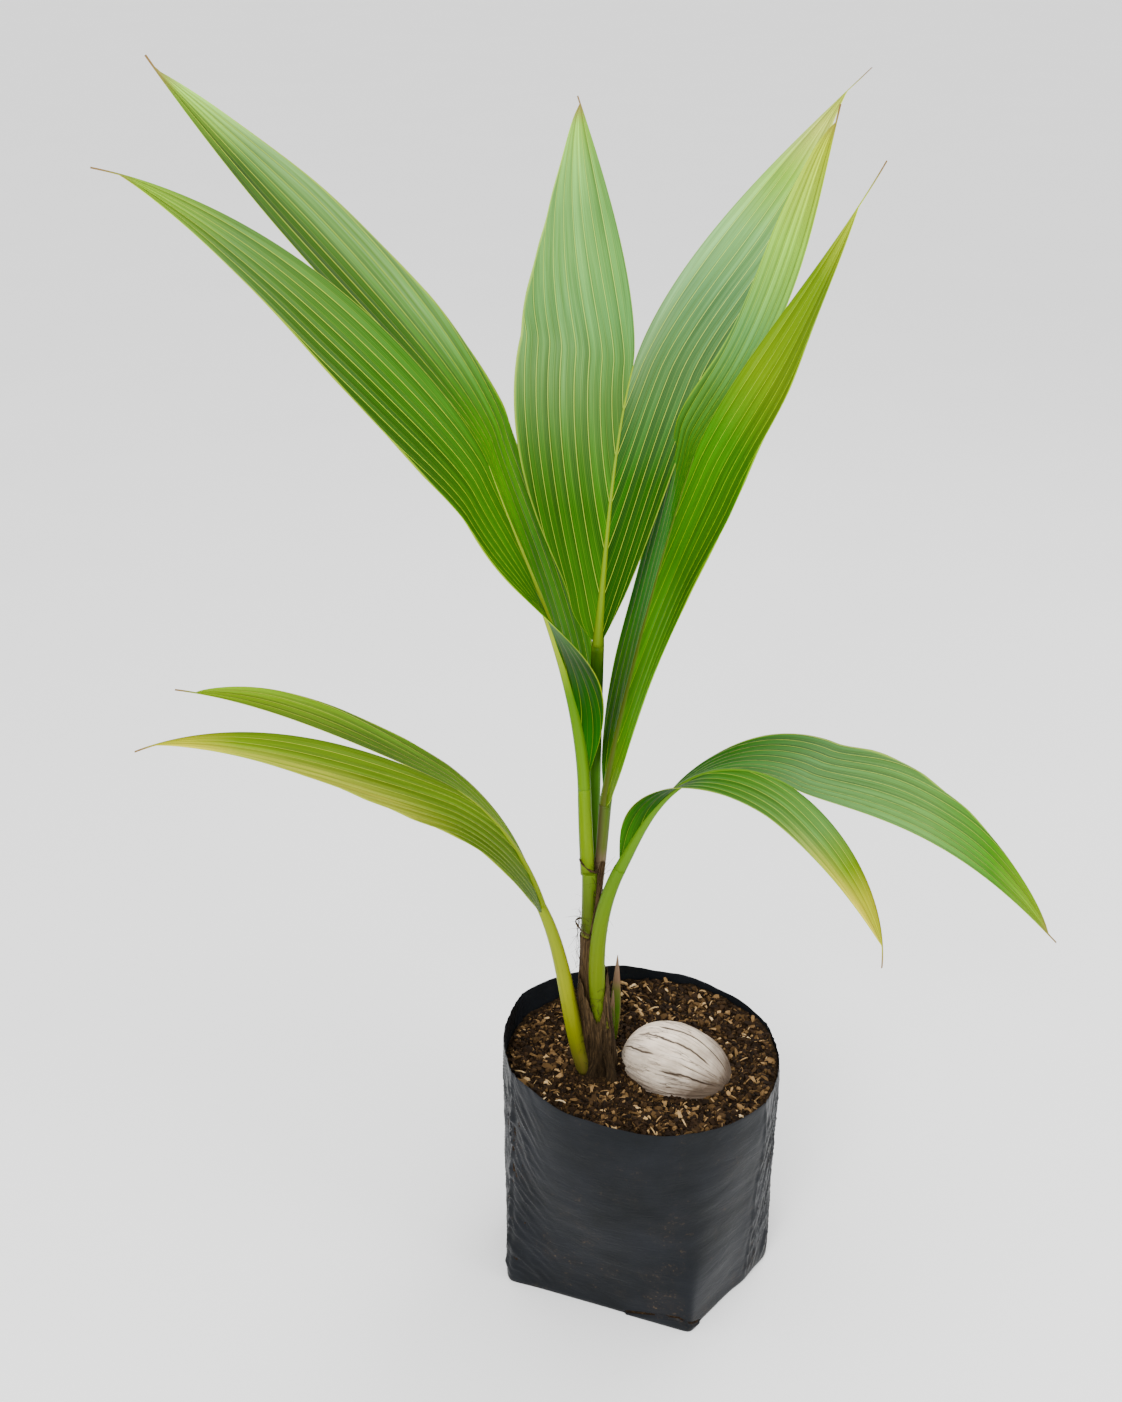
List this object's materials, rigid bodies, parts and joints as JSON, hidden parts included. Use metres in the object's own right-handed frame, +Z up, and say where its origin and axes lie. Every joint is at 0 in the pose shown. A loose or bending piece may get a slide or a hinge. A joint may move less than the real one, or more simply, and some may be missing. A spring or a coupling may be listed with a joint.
{
  "type": "potted coconut palm",
  "caption": "Young coconut palm with split, pleated fronds on a short sheathed stem, grown from a half-buried coconut in a black nursery bag.",
  "frame": {"origin": "middle of the bag's flat underside", "axes": "+Z up, the pictured front faces -Y, +X to the right in the picture"},
  "size_m": [0.8496, 0.5207, 1.2622],
  "materials": {
    "bag_film": "satin black polyethylene film",
    "potting_mix": "rough coir and chopped fibre",
    "husk": "weathered grey husk",
    "fibrous_sheath": "dry brown fibre",
    "green_sheath": "smooth green",
    "petiole": "smooth yellow-green",
    "midrib": "smooth pale green",
    "full_frond": "semi-matt leaf",
    "bright_frond": "semi-matt leaf",
    "young_frond": "bloomed leaf",
    "old_frond": "yellowing leaf"
  },
  "bodies": {
    "root": {"pot": "bag_film", "soil": "potting_mix", "coconut": "husk", "stem": "fibrous_sheath", "sheath": "green_sheath", "spike": "green_sheath", "upper_left_petiole": "petiole", "upper_left_midrib": "midrib", "right_petiole": "petiole", "right_midrib": "midrib", "centre_petiole": "petiole", "centre_midrib": "midrib", "low_left_petiole": "petiole", "low_left_midrib": "midrib", "low_right_petiole": "petiole", "low_right_midrib": "midrib", "upper_left_near_blade": "full_frond", "upper_left_near_lobe": "full_frond", "upper_left_far_blade": "full_frond", "upper_left_far_lobe": "full_frond", "right_near_blade": "bright_frond", "right_near_lobe": "bright_frond", "right_far_blade": "bright_frond", "right_far_lobe": "bright_frond", "centre_left_blade": "young_frond", "centre_left_lobe": "young_frond", "centre_right_blade": "young_frond", "centre_right_lobe": "young_frond", "low_left_near_blade": "old_frond", "low_left_near_lobe": "old_frond", "low_left_far_blade": "old_frond", "low_left_far_lobe": "old_frond", "low_right_near_blade": "full_frond", "low_right_near_lobe": "full_frond", "low_right_far_blade": "full_frond", "low_right_far_lobe": "full_frond"}
  },
  "joints": []
}
